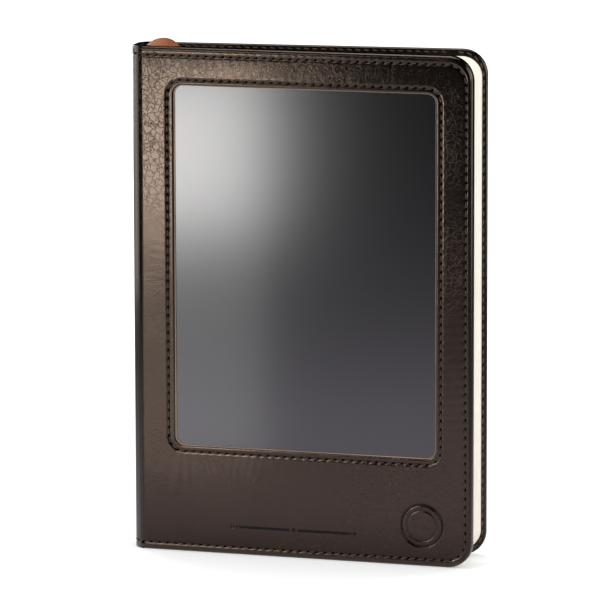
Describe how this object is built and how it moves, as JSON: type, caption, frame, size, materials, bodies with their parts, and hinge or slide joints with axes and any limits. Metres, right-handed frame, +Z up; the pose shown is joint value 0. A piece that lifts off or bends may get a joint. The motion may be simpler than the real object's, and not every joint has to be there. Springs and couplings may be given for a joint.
{
  "type": "lcd writing notebook",
  "caption": "Standing hardcover notebook with a pressure-writing LCD screen framed in its stitched leather front cover, a clear button, round corners and a ribbon marker.",
  "frame": {"origin": "on the ground under the middle of the standing book's box", "axes": "+Z up from tail to head, +X from the spine to the fore edge along the back cover, +Y from the front cover to the back cover"},
  "size_m": [0.1504, 0.0324, 0.221],
  "materials": {
    "cover_leather": "smooth dark brown-black leatherette, semi-gloss",
    "board": "grey bookbinding board",
    "page_paper": "uncoated ivory paper",
    "end_paper": "ivory endpaper",
    "gauze_cloth": "glued open weave",
    "headband_cloth": "woven band",
    "ribbon": "orange-brown satin ribbon",
    "screen_film": "smooth semi-gloss writing film",
    "black_foam": "closed-cell foam sheet",
    "black_plastic": "moulded, fine texture",
    "solder_mask": "green solder mask",
    "chip_plastic": "moulded epoxy",
    "ceramic": "tan ceramic",
    "amber_film": "amber polyimide film",
    "steel": "nickel-plated"
  },
  "bodies": {
    "book_block": {"spine_leather": "cover_leather", "spine_board": "board", "spine_lining": "board", "spine_gauze": "gauze_cloth", "headband_head": "headband_cloth", "headband_tail": "headband_cloth", "ribbon_marker": "ribbon", "section_1": "page_paper", "section_2": "page_paper", "section_3": "page_paper", "section_4": "page_paper", "section_5": "page_paper", "section_6": "page_paper", "section_7": "page_paper"},
    "front_cover": {"front_leather": "cover_leather", "front_board": "board", "front_infill": "board", "front_pastedown": "end_paper", "module_tray": "black_plastic", "writing_screen": "screen_film", "screen_backing": "black_foam", "chin_plate": "black_plastic", "circuit_board": "solder_mask", "control_chip": "chip_plastic", "capacitors": "ceramic", "dome_switch": "steel", "flex_cable": "amber_film", "coin_cell": "steel", "cell_contact_minus": "steel", "cell_contact_plus": "steel", "battery_door": "black_plastic", "door_screw": "steel"},
    "clear_button": {"clear_button_leather": "cover_leather", "clear_button_plunger": "black_plastic"},
    "front_flyleaf": {"front_flyleaf": "end_paper"},
    "front_leaves_1": {"front_leaves_1": "page_paper"},
    "front_leaves_2": {"front_leaves_2": "page_paper"},
    "back_cover": {"back_leather": "cover_leather", "back_board": "board", "back_infill": "board", "back_pastedown": "end_paper"},
    "back_flyleaf": {"back_flyleaf": "end_paper"},
    "back_leaves": {"back_leaves": "page_paper"}
  },
  "joints": [
    {"name": "front_cover_hinge", "type": "hinge", "parent": "book_block", "child": "front_cover", "pos_m": [-0.0734, -0.00161, 0], "axis": [0, 0, -1], "range_deg": [-2.6, 172]},
    {"name": "back_cover_hinge", "type": "hinge", "parent": "book_block", "child": "back_cover", "pos_m": [-0.0734, 0.01391, 0], "axis": [0, 0, 1], "range_deg": [0, 175]},
    {"name": "clear_button_press", "type": "slide", "parent": "front_cover", "child": "clear_button", "axis": [0.0837, 0.9965, 0], "range_m": [0, 0.0003], "stiffness_N_per_m": 2000, "springref_m": -0.0002},
    {"name": "front_flyleaf_turn", "type": "hinge", "parent": "book_block", "child": "front_flyleaf", "pos_m": [-0.07095, 0.0013, 0], "axis": [0, 0, -1], "range_deg": [-1.77, 114.02]},
    {"name": "front_leaves_1_turn", "type": "hinge", "parent": "book_block", "child": "front_leaves_1", "pos_m": [-0.07095, 0.0016, 0], "axis": [0, 0, -1], "range_deg": [-0.91, 57.26]},
    {"name": "front_leaves_2_turn", "type": "hinge", "parent": "book_block", "child": "front_leaves_2", "pos_m": [-0.07095, 0.0019, 0], "axis": [0, 0, -1], "range_deg": [-0.48, 28.88]},
    {"name": "back_flyleaf_turn", "type": "hinge", "parent": "book_block", "child": "back_flyleaf", "pos_m": [-0.07095, 0.0121, 0], "axis": [0, 0, 1], "range_deg": [0, 109]},
    {"name": "back_leaves_turn", "type": "hinge", "parent": "book_block", "child": "back_leaves", "pos_m": [-0.07095, 0.0118, 0], "axis": [0, 0, 1], "range_deg": [0, 53]}
  ],
  "couplings": [
    {"joint": "front_flyleaf_turn", "follows": "front_cover_hinge", "ratio": 0.66},
    {"joint": "front_leaves_1_turn", "follows": "front_cover_hinge", "ratio": 0.33},
    {"joint": "front_leaves_2_turn", "follows": "front_cover_hinge", "ratio": 0.165},
    {"joint": "back_flyleaf_turn", "follows": "back_cover_hinge", "ratio": 0.62},
    {"joint": "back_leaves_turn", "follows": "back_cover_hinge", "ratio": 0.3}
  ]
}
